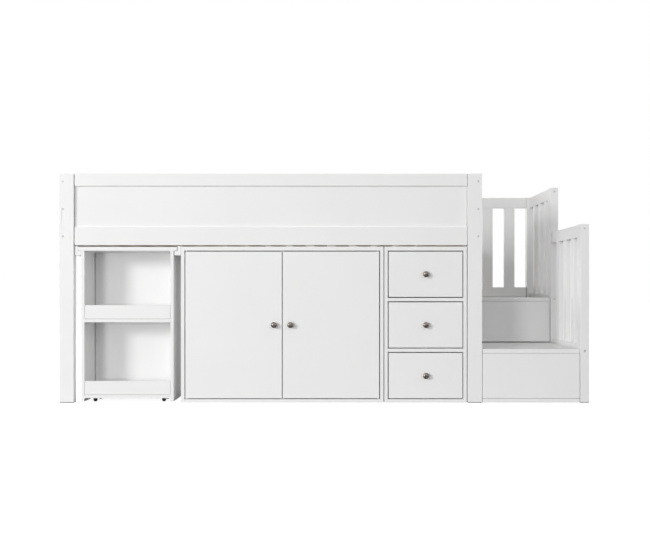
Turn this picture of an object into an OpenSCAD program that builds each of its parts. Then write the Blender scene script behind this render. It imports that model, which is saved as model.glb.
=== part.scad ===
// Loft bed with a roll-out desk, a two-door cupboard, a chest of three drawers and a two-step stair.
// Lengths are millimetres. X runs along the bed, the front is at -Y and Z is up.
// The origin is the middle of the footprint, on the floor.

/* [Bed] */
// Length of the mattress
mattress_l = 2000; // [1900:10:2200]
// Width of the mattress
mattress_w = 900; // [860:10:1200]
// Length left free beside the mattress
mattress_end_play = 10; // [5:1:30]
// Width left free beside the mattress
mattress_side_play = 28; // [4:1:30]
// Height of the bed
bed_h = 1128; // [1100:1:1300]
// Width of a bed post, along the bed
post_w = 70; // [60:1:100]
// Thickness of a bed post, across the bed
post_t = 38; // [36:1:60]
// Thickness of the dark glide under each post
glide_t = 3; // [2:0.5:6]

/* [Bed sides] */
// How far the rails, doors and drawers lie behind the posts' front faces
setback = 4; // [2:1:20]
// Thickness of the long rails
rail_t = 22; // [20:1:30]
// Height of the top rails
top_rail_h = 60; // [50:1:80]
// Height of the lower rails
lower_rail_h = 90; // [70:1:110]
// Height of the panel that shows between the rails
panel_h = 202; // [150:1:240]
// Thickness of the panels
panel_t = 10; // [8:1:12]
// How far the panel lies behind the rails' faces
panel_recess = 9; // [6:0.5:9.5]
// Depth of the grooves that hold the panels
groove_d = 8; // [5:1:12]
// Joint line between a rail's end and its post
joint_line = 3; // [0.5:0.5:4]
// Length of the stub tenon on a rail's end
tenon_l = 16; // [10:1:25]
// Thickness of the stub tenon
tenon_t = 8; // [6:1:10]
// Shoulder left above and below a stub tenon
tenon_shoulder = 12; // [8:1:16]

/* [Bed ends] */
// Thickness of the end frames
end_t = 35; // [32:1:50]
// Width of the upright stiles in the end frames
stile_w = 45; // [40:1:60]
// Length of the guard at the stair end
guard_l = 430; // [300:10:460]

/* [Slats] */
// Width of a slat
slat_w = 68; // [50:1:90]
// Thickness of a slat
slat_t = 20; // [15:1:25]
// Largest distance from one slat to the next, centre to centre
slat_pitch = 122; // [100:1:160]
// Height of the ledges that carry the slats
ledge_h = 22; // [18:1:30]
// Width of the ledges that carry the slats
ledge_w = 36; // [20:1:40]
// Height of the ledges above the lower edge of the lower rails
ledge_rise = 2; // [1:1:10]

/* [Cabinets] */
// Space between the cabinets and the bed's lower rail
cabinet_top_gap = 7; // [4:1:20]
// Depth of the cupboard and the chest
cabinet_d = 450; // [420:5:600]
// Thickness of the cabinets' boards
board_t = 17; // [15:1:20]
// Thickness of the cabinets' top boards
cabinet_top_t = 20; // [17:1:25]
// Thickness of the cabinets' back panels
back_t = 6; // [4:1:8]
// Gap round the doors and the drawer fronts
front_gap = 4.5; // [4:0.5:6]
// Space between the cupboard, the chest and the post
cabinet_gap = 4; // [3:0.5:12]
// Width of the cupboard
cupboard_w = 998; // [800:1:1050]
// Width of the chest of drawers
chest_w = 406.5; // [340:0.5:450]
// Thickness of the doors and the drawer fronts
front_t = 18; // [16:1:20]
// Distance of the cupboard's shelves behind its doors
shelf_setback = 20; // [5:1:60]
// Distance of the shelf pins from a shelf's front and back edges
shelf_pin_inset = 30; // [20:1:60]
// Diameter of the door pivots and the shelf pins
pin_d = 6; // [5:0.5:7]
// Length that a pin enters each board
pin_l = 12; // [8:1:13]
// Distance of a door's pivot from its edge and from its face
pivot_inset = 6; // [5:0.5:7]

/* [Drawers] */
// Height of a drawer box
drawer_box_h = 160; // [100:5:190]
// Space between a drawer box and the chest's back panel
drawer_back_gap = 26; // [5:1:60]
// Height of a drawer box above the lower edge of its front
drawer_box_lift = 20; // [10:1:30]
// Thickness of a drawer box's sides
drawer_side_t = 14; // [12:1:16]
// Thickness of a drawer box's bottom
drawer_bottom_t = 6; // [4:1:8]
// Height of the bottom panel above the lower edge of the drawer's sides
drawer_bottom_rise = 8; // [6:1:20]
// Height of a drawer runner
runner_bar_h = 12; // [8:1:20]
// Depth of the groove that a runner sits in
runner_groove_d = 5; // [4:0.5:6]
// Running gap between a drawer's groove and its runner
slide_gap = 0.3; // [0.2:0.1:0.6]

/* [Knobs] */
// Diameter of a knob
knob_d = 30; // [24:1:36]
// Length of a knob in front of its panel
knob_l = 25; // [22:1:32]
// Diameter of a knob's foot
knob_foot_d = 17; // [15:1:20]
// Diameter of a knob's neck
knob_neck_d = 12; // [10:1:13]
// Distance of a door's knob from the meeting edge
knob_edge = 38; // [30:1:60]
// Diameter of the screw that holds a knob
knob_screw_d = 4; // [3:0.5:5]
// Diameter of the head of a knob's screw
screw_head_d = 9; // [7:0.5:10]
// Thickness of the head of a knob's screw
screw_head_t = 2.5; // [2:0.5:4]

/* [Desk] */
// Depth of the desk top
desk_d = 800; // [700:10:900]
// Thickness of the desk top
desk_top_t = 19; // [16:1:25]
// Gap between the desk top and the bed's lower rail
desk_gap = 8.5; // [6:0.5:16]
// Thickness of the upright web of a desk runner
runner_web_t = 16; // [12:1:20]
// Thickness of the packing strips between a runner and the board or post beside it
runner_packing = 2; // [1:0.5:4]
// How far the packing strips lie behind the runner's front end
packing_setback = 10; // [5:1:30]
// Thickness of the ledge of a desk runner
runner_ledge_t = 22; // [15:1:30]
// Sideways gap between the desk top and its runners
desk_play = 2; // [1:0.5:4]
// How far the runners lie behind the desk top's front edge
runner_setback = 4; // [2:1:20]
// How far the desk top overhangs each side of the bookcase
desk_overhang = 16; // [16:1:40]
// Height of the web above the desk top's upper face
runner_web_rise = 4.5; // [3:0.5:5]

/* [Bookcase] */
// Depth of the bookcase
bookcase_d = 208; // [180:2:300]
// Thickness of the bookcase's boards
shelf_t = 16; // [15:1:20]
// Height of the bottom board above the floor
caster_h = 22; // [20:1:30]
// Clearance of the side boards above the floor
side_clear = 6; // [4:1:15]
// Height of the middle shelf's upper face
shelf_z = 412; // [300:1:500]
// Height of the lips in front of the shelves
lip_h = 67; // [40:1:90]
// Thickness of the lips
lip_t = 12; // [10:1:16]
// Joint line under a lip and at its ends
lip_line = 1.5; // [0.5:0.5:2]
// Depth of that joint line
lip_line_depth = 3; // [1:0.5:4]
// Thickness of the bookcase's back panel
bookcase_back_t = 6; // [4:1:8]
// Gap at each side of the bookcase's back panel
back_side_gap = 3; // [0.5:0.5:4]
// Width of the cleats that close the gaps at the back panel's sides
cleat_w = 14; // [10:1:20]
// Thickness of those cleats
cleat_t = 32; // [5:1:40]

/* [Casters] */
// Diameter of a caster wheel
wheel_d = 18; // [16:1:19]
// Width of a caster wheel
wheel_w = 14; // [10:1:16]
// Diameter of a caster's axle
axle_d = 4; // [3:0.5:5]
// Thickness of a caster's cheeks
cheek_t = 2; // [1.5:0.5:3]
// Thickness of a caster's plate
caster_plate_t = 2; // [1.5:0.5:3]
// Side of a caster's square plate
caster_plate_w = 26; // [24:1:34]
// Distance of the casters from the bookcase's sides
caster_inset = 57; // [45:1:100]
// Distance of the front casters behind the bookcase's front
caster_front = 45; // [35:1:60]
// Distance from the front casters to the rear casters
caster_pitch = 86; // [60:1:110]

/* [Stair] */
// Width of the steps
step_w = 480; // [400:0.5:600]
// Height of the lower step
lower_step_h = 264; // [240:1:300]
// Height of the upper step
upper_step_h = 515; // [480:1:560]
// Thickness of the treads and the boxes' boards
tread_t = 20; // [18:1:25]
// Thickness of the risers and the boxes' sides
riser_t = 18; // [16:1:20]
// Depth of the lower step from its front to the riser behind it
lower_step_d = 491; // [440:1:510]
// How far the middle railing post stands in front of the riser
middle_post_lead = 6; // [0:1:12]
// Gap between the steps and the bed's post
step_gap = 2; // [1:0.5:6]
// Joint line that shows between a riser and the boards above and below it
step_line = 1.5; // [0.5:0.5:3]
// Depth of the joint lines on the stair
line_depth = 6; // [2:0.5:7]
// Shadow gap between the lower tread and the upper riser
riser_foot_gap = 3; // [0.5:0.5:6]
// Gap between the steps and the hand railing
step_side_gap = 3; // [0.5:0.5:4]

/* [Stair railing] */
// Thickness of the railing's posts
rail_post_t = 42; // [38:1:50]
// Width of the corner post, along the bed
corner_post_w = 52; // [42:1:60]
// Depth of the front railing post
front_rail_post_d = 58; // [50:1:65]
// Depth of the middle railing post
middle_rail_post_d = 55; // [50:1:60]
// Height of the front railing post
lower_railing_h = 880; // [800:1:950]
// Height of the upper railing below the bed's own height
upper_railing_drop = 1; // [0:1:20]
// Height of a railing's rail
railing_rail_h = 62; // [50:1:70]
// Thickness of a railing's rail
railing_rail_t = 30; // [28:1:34]
// Joint line between a railing's rail and its post
railing_line = 3; // [0.5:0.5:4]
// Thickness of the side railings' slats
side_slat_t = 23; // [18:1:25]
// Thickness of the back railing's slats
back_slat_t = 18; // [14:1:20]
// Distance of a railing's upper bolts below its top
railing_bolt_drop = 22; // [18:1:40]
// Width of the side railings' slats
side_slat_w = 48; // [35:1:60]
// Number of slats in each railing
railing_slat_count = 3; // [2:1:5]
// Width of the back railing's slats
back_slat_w = 64; // [50:1:75]
// How far the back railing's slats are shifted towards the bed
back_slat_shift = 5; // [0:1:15]
// How far the railings' lower rails stand above the treads
railing_foot = 22; // [15:1:40]
// How far the back railing lies in front of the posts' rear faces
back_railing_inset = 15; // [5:1:18]
// Height of the back railing's rails
back_rail_h = 60; // [50:1:70]
// How far a railing's slats reach into its rails
slat_tenon = 10; // [6:1:14]
// Shoulder at each edge of a back slat's tenon
slat_shoulder = 5; // [3:1:8]

/* [Bolts] */
// Diameter of a frame bolt
bolt_d = 6; // [5:0.5:8]
// Diameter of a frame bolt's head
bolt_head_d = 10; // [9:0.5:12]
// Thickness of a frame bolt's head
bolt_head_t = 3; // [2:0.5:4]
// Length of a bolt past the back of its post
bolt_reach = 35; // [25:1:38]
// Height of the first frame bolt above the lower rail's lower edge
bolt_rise = 43; // [35:1:45]
// Number of bolts in a corner post with an end frame's stile behind it
post_bolt_count = 3; // [2:1:3]
// Distance between the frame bolts
bolt_pitch = 135; // [120:1:140]
// Distance of the cabinets' joining bolts from their front and back
joining_bolt_inset = 90; // [60:5:150]
// Distance of the joining bolts below the cabinets' top boards
joining_bolt_drop = 12; // [10:1:30]
// Width of the collar on a joining bolt
collar_d = 16; // [14:1:20]

/* [Fits] */
// Clearance round pins, axles and bolts
pin_play = 0.05; // [0.02:0.01:0.1]
// Clearance round tenons and panels in their grooves
joint_play = 0.2; // [0.1:0.1:0.5]
// Clearance round a knob's screw
screw_play = 0.25; // [0.1:0.05:0.5]
// Clearance round the head of a drawer knob's screw
screw_head_play = 1.5; // [0.5:0.5:2]
// Clearance between the doors or drawer fronts and the parts behind them
front_play = 1; // [0.5:0.5:3]
// Gap between a desk runner's ledge and the bookcase
runner_side_gap = 2; // [1:0.5:4]
// Gap between a caster's wheel and its cheeks
cheek_gap = 0.4; // [0.3:0.1:0.6]
// Play of a loose shelf at each side
shelf_play = 0.5; // [0.3:0.1:0.9]
// Play between the bed slats and the frame round them
slat_play = 1; // [0.5:0.5:3]
// Glue line between boards of one assembly
glue_line = 0.1; // [0.05:0.05:0.3]

/* [Hidden] */
$fn = 48;
eps = 0.01;
lacquer = "white";
timber = "burlywood";
steel = "silver";
pewter = "dimgray";
black = "#222222";

// The bed's overall sizes
bed_l = mattress_l + mattress_end_play + 2 * end_t;
bed_w = mattress_w + mattress_side_play + 2 * (setback + rail_t);
lower_rail_z = bed_h - top_rail_h - panel_h - lower_rail_h;
end_frame_l = bed_w - 2 * post_t;
panel_z = lower_rail_z + lower_rail_h;
top_rail_z = bed_h - top_rail_h;
rail_x0 = post_w + joint_line;
rail_len = bed_l - 2 * rail_x0;
inner_l = bed_l - 2 * end_t;
inner_y0 = setback + rail_t;
knob_out = knob_l - setback;

// The stair's places
stair_x0 = bed_l + step_gap;
railing_x0 = stair_x0 + step_w + step_side_gap;
total_l = railing_x0 + rail_post_t;
upper_step_y0 = setback + lower_step_d;
upper_step_d = bed_w - setback - upper_step_y0;
upper_railing_h = bed_h - upper_railing_drop;
middle_post_y0 = upper_step_y0 - middle_post_lead;
corner_post_y0 = bed_w - rail_post_t;

// The slats' places
slat_z = lower_rail_z + ledge_rise + ledge_h;
slat_count = ceil((inner_l - slat_w) / slat_pitch) + 1;
slat_step = (inner_l - slat_w - 2 * slat_play) / (slat_count - 1);
slat_y0 = max(inner_y0, post_t) + slat_play;

// The cabinets' places
cabinet_h = lower_rail_z - cabinet_top_gap;
chest_x0 = bed_l - post_w - cabinet_gap - chest_w;
cupboard_x0 = chest_x0 - cabinet_gap - cupboard_w;
cabinet_y1 = setback + cabinet_d;
inside_y0 = setback + front_t + front_play;
inside_y1 = cabinet_y1 - back_t;
cupboard_inner_w = cupboard_w - 2 * board_t;
door_w = (cupboard_inner_w - 3 * front_gap) / 2;
door_z0 = board_t + front_gap;
door_top_z = cabinet_h - cabinet_top_t - front_gap;
door_h = door_top_z - door_z0;
left_door_x0 = cupboard_x0 + board_t + front_gap;
right_door_x0 = left_door_x0 + door_w + front_gap;
cupboard_mid_x = cupboard_x0 + cupboard_w / 2;
shelf_mid_z = door_z0 + door_h / 2;
shelf_front_y = inside_y0 + shelf_setback;
joining_bolt_z = cabinet_h - cabinet_top_t - joining_bolt_drop;
inside_h = cabinet_h - cabinet_top_t - board_t;
left_knob_x = left_door_x0 + door_w - knob_edge;
right_knob_x = right_door_x0 + knob_edge;
pivot_points = [
    [left_door_x0 + pivot_inset, setback + pivot_inset],
    [right_door_x0 + door_w - pivot_inset, setback + pivot_inset]
];

// The drawers' places
drawer_box_y0 = setback + front_t;
drawer_box_d = inside_y1 - drawer_back_gap - drawer_box_y0;
chest_inner_w = chest_w - 2 * board_t;
drawer_w = chest_inner_w - 2 * front_gap;
drawer_x0 = chest_x0 + board_t + front_gap;
drawer_front_h = (inside_h - 2 * board_t - 6 * front_gap) / 3;
drawer_pitch = drawer_front_h + 2 * front_gap + board_t;
runner_lift = drawer_box_lift + drawer_box_h / 2;

// The desk's places
desk_zone_x0 = post_w;
desk_side_space = runner_packing + runner_web_t + desk_play;
desk_x0 = desk_zone_x0 + desk_side_space;
desk_w = cupboard_x0 - desk_zone_x0 - 2 * desk_side_space;
desk_z1 = lower_rail_z - desk_gap;
desk_z0 = desk_z1 - desk_top_t;
bookcase_x0 = desk_x0 + desk_overhang;
bookcase_w = desk_w - 2 * desk_overhang;
bookcase_in_x0 = bookcase_x0 + shelf_t;
bookcase_in_w = bookcase_w - 2 * shelf_t;
bottom_board_z = caster_h;
bookcase_shelf_d = bookcase_d - bookcase_back_t - cleat_t;
desk_y0 = setback;
axle_z = wheel_d / 2;

// The railings: heights and lengths of their rails
lower_bottom_rail_z = lower_step_h + railing_foot - railing_rail_h;
upper_bottom_rail_z = upper_step_h + railing_foot - railing_rail_h;
lower_rail_len = middle_post_y0 - front_rail_post_d;
upper_rail_y0 = middle_post_y0 + middle_rail_post_d;
upper_rail_len = corner_post_y0 - upper_rail_y0;
railing_mid_x = railing_x0 + rail_post_t / 2;
back_rail_x0 = bed_l;
corner_post_x0 = total_l - corner_post_w;
back_rail_len = corner_post_x0 - bed_l;
back_rail_y0 = bed_w - back_railing_inset - rail_t;
back_mid_y = back_rail_y0 + rail_t / 2;
foot_bolt_rise = railing_rail_h / 2;

// Each side railing: where its rails start, their length, and the heights that its slats span
side_runs = [
    [front_rail_post_d, lower_rail_len,
     lower_bottom_rail_z + railing_rail_h, lower_railing_h - railing_rail_h],
    [upper_rail_y0, upper_rail_len,
     upper_bottom_rail_z + railing_rail_h, upper_railing_h - railing_rail_h]
];
// The heights that the back railing's slats span
back_slat_z0 = upper_step_h + back_rail_h;
back_slat_z1 = upper_railing_h - railing_rail_h;

module place() {
    translate([-total_l / 2, -(bed_w - knob_out) / 2, 0]) children();
}

module board(x, y, z, dx, dy, dz) {
    translate([x, y, z]) cube([dx, dy, dz]);
}

// A board with joint lines: its outer shell is kept back by low and high at its ends, and its core is
// kept in from its faces, so that the ends touch only behind the line
module lined_board(place, size, low, high, core) {
    translate(place + low) cube(size - low - high);
    translate(place + core) cube(size - 2 * core);
}

// A rod along X, Y or Z from its start point
module rod_x(x, y, z, d, l) {
    translate([x, y, z]) rotate([0, 90, 0]) cylinder(d = d, h = l);
}

module rod_y(x, y, z, d, l) {
    translate([x, y, z]) rotate([-90, 0, 0]) cylinder(d = d, h = l);
}

module rod_z(x, y, z, d, l) {
    translate([x, y, z]) cylinder(d = d, h = l);
}

// Copies its children mirrored from the front side to the rear side
module at_rear() {
    translate([0, bed_w, 0]) mirror([0, 1, 0]) children();
}

// Bolts through a post's face along Y: the steel, or the hole with its clearance
module post_bolt(x, z, through, play = 0) {
    rod_y(x, play > 0 ? -eps : 0, z, bolt_head_d + 2 * play, bolt_head_t + (play > 0 ? play : 0));
    rod_y(x, bolt_head_t - eps, z, bolt_d + 2 * play, through - bolt_head_t + bolt_reach + play);
}

module end_bolt_column(x, count, play = 0) {
    for (i = [0 : count - 1])
        post_bolt(x, lower_rail_z + bolt_rise + i * bolt_pitch, post_t, play);
}

module bed_front_bolts(play = 0) {
    end_bolt_column(end_t / 2, post_bolt_count, play);
    end_bolt_column(bed_l - end_t / 2, post_bolt_count, play);
}

module bed_rear_bolts(play = 0) {
    at_rear() {
        end_bolt_column(end_t / 2, post_bolt_count, play);
        end_bolt_column(bed_l - end_t / 2, 1, play);
    }
}

// The long rail's tenon zones, at both ends
module rail_tenons(z, h, play = 0) {
    y0 = setback + (rail_t - tenon_t) / 2;
    for (x = [rail_x0 - tenon_l, rail_x0 + rail_len])
        board(x - play, y0 - play, z + tenon_shoulder - play,
              tenon_l + 2 * play, tenon_t + 2 * play, h - 2 * tenon_shoulder + 2 * play);
}

module front_post_pair() {
    difference() {
        for (x = [0, bed_l - post_w])
            board(x, 0, glide_t, post_w, post_t, bed_h - glide_t);
        bed_front_bolts(pin_play);
        rail_tenons(lower_rail_z, lower_rail_h, joint_play);
        rail_tenons(top_rail_z, top_rail_h, joint_play);
    }
}

module front_posts() {
    color(lacquer) place() front_post_pair();
}

module rear_posts() {
    color(lacquer) place() difference() {
        at_rear() difference() {
            for (x = [0, bed_l - post_w])
                board(x, 0, glide_t, post_w, post_t, bed_h - glide_t);
            rail_tenons(lower_rail_z, lower_rail_h, joint_play);
            rail_tenons(top_rail_z, top_rail_h, joint_play);
        }
        bed_rear_bolts(pin_play);
    }
}

module post_glides() {
    inset = 1;
    color(black) place() {
        for (x = [0, bed_l - post_w])
            for (y = [0, bed_w - post_t])
                board(x + inset, y + inset, 0, post_w - 2 * inset, post_t - 2 * inset, glide_t);
        board(railing_x0 + inset, inset, 0, rail_post_t - 2 * inset, front_rail_post_d - 2 * inset, glide_t);
        board(railing_x0 + inset, middle_post_y0 + inset, 0,
              rail_post_t - 2 * inset, middle_rail_post_d - 2 * inset, glide_t);
        board(corner_post_x0 + inset, corner_post_y0 + inset, 0,
              corner_post_w - 2 * inset, rail_post_t - 2 * inset, glide_t);
    }
}

// A long rail with its tenons, and the groove for the panel on one edge
module long_rail(z, h, groove_z) {
    difference() {
        union() {
            board(rail_x0, setback, z, rail_len, rail_t, h);
            rail_tenons(z, h);
        }
        board(rail_x0 - eps, setback + panel_recess - joint_play, groove_z - joint_play,
              rail_len + 2 * eps, panel_t + 2 * joint_play, groove_d + 2 * joint_play);
    }
}

module long_panel() {
    board(rail_x0, setback + panel_recess, panel_z - groove_d, rail_len, panel_t, panel_h + 2 * groove_d);
}

module front_top_rail() {
    color(lacquer) place() long_rail(top_rail_z, top_rail_h, top_rail_z - joint_play);
}

module front_panel() {
    color(lacquer) place() long_panel();
}

module front_lower_rail() {
    color(lacquer) place() long_rail(lower_rail_z, lower_rail_h, panel_z - groove_d);
}

module rear_top_rail() {
    color(lacquer) place() at_rear() long_rail(top_rail_z, top_rail_h, top_rail_z - joint_play);
}

module rear_panel() {
    color(lacquer) place() at_rear() long_panel();
}

module rear_lower_rail() {
    color(lacquer) place() at_rear() long_rail(lower_rail_z, lower_rail_h, panel_z - groove_d);
}

// The panel of an end frame, with its edges in the frame's grooves
module end_panel_zone(x, length, play = 0) {
    board(x + (end_t - panel_t) / 2 - play, post_t + stile_w - groove_d - play, panel_z - groove_d - play,
          panel_t + 2 * play, length - 2 * stile_w + 2 * groove_d + 2 * play,
          panel_h + 2 * groove_d + 2 * play);
}

// Stiles and top rail of an end frame of a given length
module end_frame_parts(x, length, lower_len) {
    stile_z = panel_z + glue_line;
    rail_y = post_t + stile_w + glue_line;
    board(x, post_t, lower_rail_z, end_t, lower_len, lower_rail_h);
    for (y = [post_t, post_t + length - stile_w])
        board(x, y, stile_z, end_t, stile_w, bed_h - stile_z);
    board(x, rail_y, top_rail_z, end_t, length - 2 * (stile_w + glue_line), top_rail_h);
}

module left_end_frame() {
    color(lacquer) place() difference() {
        end_frame_solids(0, end_frame_l);
        bed_front_bolts(pin_play);
        bed_rear_bolts(pin_play);
    }
}

module right_end_frame() {
    color(lacquer) place() difference() {
        end_frame_solids(bed_l - end_t, guard_l);
        bed_front_bolts(pin_play);
        bed_rear_bolts(pin_play);
    }
}

module end_frame_solids(x, length) {
    difference() {
        end_frame_parts(x, length, end_frame_l);
        end_panel_zone(x, length, joint_play);
    }
}

module left_end_panel() {
    color(lacquer) place() end_panel_zone(0, end_frame_l);
}

module right_guard_panel() {
    color(lacquer) place() end_panel_zone(bed_l - end_t, guard_l);
}

module slat_ledges() {
    color(timber) place() {
        for (y = [inner_y0, bed_w - inner_y0 - ledge_w])
            board(rail_x0, y, slat_z - ledge_h, rail_len, ledge_w, ledge_h);
    }
}

module bed_slats() {
    color(timber) place()
        for (i = [0 : slat_count - 1])
            board(end_t + slat_play + i * slat_step, slat_y0, slat_z, slat_w, bed_w - 2 * slat_y0, slat_t);
}

// Bolts of the stair railing, with an optional clearance
module railing_bolts(play = 0) {
    x = railing_mid_x;
    for (z = [lower_bottom_rail_z + foot_bolt_rise, lower_railing_h - railing_bolt_drop])
        post_bolt(x, z, front_rail_post_d, play);
    for (z = [upper_bottom_rail_z + foot_bolt_rise, upper_railing_h - railing_bolt_drop]) {
        translate([0, middle_post_y0, 0]) post_bolt(x, z, middle_rail_post_d, play);
        at_rear() post_bolt(x, z, rail_post_t, play);
    }
}

// Bolts that join the cupboard and the chest, with collars that keep them apart
module joining_bolts(play = 0) {
    x = cupboard_x0 + cupboard_w - board_t;
    length = 2 * board_t + cabinet_gap;
    for (y = [setback + joining_bolt_inset, cabinet_y1 - joining_bolt_inset])
        rod_x(x, y, joining_bolt_z, bolt_d + 2 * play, length);
}

module joining_collars() {
    x = cupboard_x0 + cupboard_w;
    for (y = [setback + joining_bolt_inset, cabinet_y1 - joining_bolt_inset])
        difference() {
            rod_x(x, y, joining_bolt_z, collar_d, cabinet_gap);
            rod_x(x - eps, y, joining_bolt_z, bolt_d + 2 * pin_play, cabinet_gap + 2 * eps);
        }
}

module frame_bolts() {
    color(steel) place() {
        bed_front_bolts();
        bed_rear_bolts();
        railing_bolts();
        joining_bolts();
        joining_collars();
    }
}

// Door pivots: the steel pins, or their holes with a clearance
module door_pivots(play = 0) {
    for (p = pivot_points)
        for (z = [board_t - pin_l, door_top_z - pin_l])
            rod_z(p[0], p[1], z - play, pin_d + 2 * play, 2 * pin_l + front_gap + 2 * play);
}

// The collars under the doors, which carry their weight and end just inside the doors' edges
module pivot_collars() {
    collar_edge = 1;
    for (p = pivot_points)
        difference() {
            rod_z(p[0], p[1], board_t, 2 * pivot_inset - collar_edge, front_gap - slide_gap);
            rod_z(p[0], p[1], board_t - eps, pin_d + 2 * pin_play, front_gap + 2 * eps);
        }
}

// Shelf pins in the cupboard's two bays, with some wood left between two pins in the divider
module shelf_pins(play = 0) {
    wood_left = 2;
    reach = (board_t - wood_left) / 2;
    faces = [
        cupboard_x0 + board_t,
        cupboard_mid_x - board_t / 2,
        cupboard_mid_x + board_t / 2,
        cupboard_x0 + cupboard_w - board_t
    ];
    for (y = [shelf_front_y + shelf_pin_inset, inside_y1 - shelf_pin_inset])
        for (x = faces)
            rod_x(x - reach - play, y, shelf_mid_z - pin_d / 2 - pin_play,
                  pin_d + 2 * play, 2 * (reach + play));
}

module cupboard_pins() {
    color(steel) place() {
        door_pivots();
        pivot_collars();
        shelf_pins();
    }
}

module cupboard_sides() {
    color(lacquer) place() difference() {
        for (x = [cupboard_x0, cupboard_x0 + cupboard_w - board_t])
            board(x, setback, 0, board_t, cabinet_d, cabinet_h);
        shelf_pins(pin_play);
        joining_bolts(pin_play);
    }
}

module cupboard_top() {
    color(lacquer) place() difference() {
        board(cupboard_x0 + board_t, setback, cabinet_h - cabinet_top_t,
              cupboard_inner_w, cabinet_d, cabinet_top_t);
        door_pivots(pin_play);
    }
}

module cupboard_bottom() {
    color(lacquer) place() difference() {
        board(cupboard_x0 + board_t, setback, 0, cupboard_inner_w, cabinet_d, board_t);
        door_pivots(pin_play);
    }
}

module cupboard_back() {
    color(lacquer) place()
        board(cupboard_x0 + board_t, inside_y1, board_t, cupboard_inner_w, back_t, inside_h);
}

module cupboard_divider() {
    color(lacquer) place() difference() {
        board(cupboard_mid_x - board_t / 2, inside_y0, board_t,
              board_t, inside_y1 - inside_y0, inside_h);
        shelf_pins(pin_play);
    }
}

module cupboard_shelves() {
    bay_w = (cupboard_inner_w - board_t) / 2;
    color(lacquer) place()
        for (x = [cupboard_x0 + board_t, cupboard_mid_x + board_t / 2])
            board(x + shelf_play, shelf_front_y, shelf_mid_z,
                  bay_w - 2 * shelf_play, inside_y1 - shelf_front_y, board_t);
}

// A door with its pivot bores and the hole for its knob's screw
module door(x, knob_x) {
    difference() {
        board(x, setback, door_z0, door_w, front_t, door_h);
        door_pivots(pin_play);
        rod_y(knob_x, setback - eps, shelf_mid_z, knob_screw_d + 2 * screw_play, front_t + 2 * eps);
    }
}

module left_door() {
    color(lacquer) place() door(left_door_x0, left_knob_x);
}

module right_door() {
    color(lacquer) place() door(right_door_x0, right_knob_x);
}

// Points on a quarter of an ellipse whose centre is on the axis
function quarter(centre, rx, ry, steps) =
    [for (i = [0 : steps]) [rx * cos(90 * i / steps), centre + ry * sin(90 * i / steps)]];

// A turned knob that stands out along -Y, with its screw through the panel
module knob(x, z) {
    foot_l = 3;
    taper = 2;
    head_z = knob_l / 2;
    head_mid = head_z + taper;
    screw_in = knob_l / 2;
    profile = concat(
        [[0, 0], [knob_foot_d / 2, 0], [knob_foot_d / 2, foot_l]],
        [[knob_neck_d / 2, foot_l + taper], [knob_neck_d / 2, head_z - taper]],
        quarter(head_mid, knob_d / 2, knob_l - head_mid, 10)
    );
    translate([x, setback, z]) rotate([90, 0, 0]) {
        difference() {
            rotate_extrude() polygon(profile);
            translate([0, 0, -eps]) cylinder(d = knob_screw_d + 2 * pin_play, h = screw_in + pin_play);
        }
        translate([0, 0, -front_t]) cylinder(d = knob_screw_d, h = front_t + screw_in);
        translate([0, 0, -front_t - screw_head_t]) cylinder(d = screw_head_d, h = screw_head_t);
    }
}

module left_door_knob() {
    color(pewter) place() knob(left_knob_x, shelf_mid_z);
}

module right_door_knob() {
    color(pewter) place() knob(right_knob_x, shelf_mid_z);
}

module chest_sides() {
    color(lacquer) place() difference() {
        for (x = [chest_x0, chest_x0 + chest_w - board_t])
            board(x, setback, 0, board_t, cabinet_d, cabinet_h);
        joining_bolts(pin_play);
    }
}

module chest_top() {
    color(lacquer) place()
        board(chest_x0 + board_t, setback, cabinet_h - cabinet_top_t,
              chest_inner_w, cabinet_d, cabinet_top_t);
}

module chest_bottom() {
    color(lacquer) place() board(chest_x0 + board_t, setback, 0, chest_inner_w, cabinet_d, board_t);
}

module chest_back() {
    color(lacquer) place()
        board(chest_x0 + board_t, inside_y1, board_t, chest_inner_w, back_t, inside_h);
}

// Drawers count from the bottom: 0, 1 and 2
function drawer_z(i) = board_t + front_gap + i * drawer_pitch;

module chest_dividers() {
    color(lacquer) place()
        for (i = [1, 2])
            board(chest_x0 + board_t, setback, drawer_z(i) - front_gap - board_t,
                  chest_inner_w, cabinet_d - back_t, board_t);
}

module drawer_runners() {
    bar_w = front_gap + runner_groove_d - slide_gap;
    bar_y0 = inside_y0 + front_play;
    bar_l = drawer_box_d - 2 * front_play;
    color(timber) place()
        for (i = [0 : 2])
            for (x = [chest_x0 + board_t, chest_x0 + chest_w - board_t - bar_w])
                board(x, bar_y0, drawer_z(i) + runner_lift, bar_w, bar_l, runner_bar_h);
}

module drawer_front(i) {
    difference() {
        board(drawer_x0, setback, drawer_z(i), drawer_w, front_t, drawer_front_h);
        rod_y(drawer_x0 + drawer_w / 2, setback - eps, drawer_z(i) + drawer_front_h / 2,
              knob_screw_d + 2 * screw_play, front_t + 2 * eps);
    }
}

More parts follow.
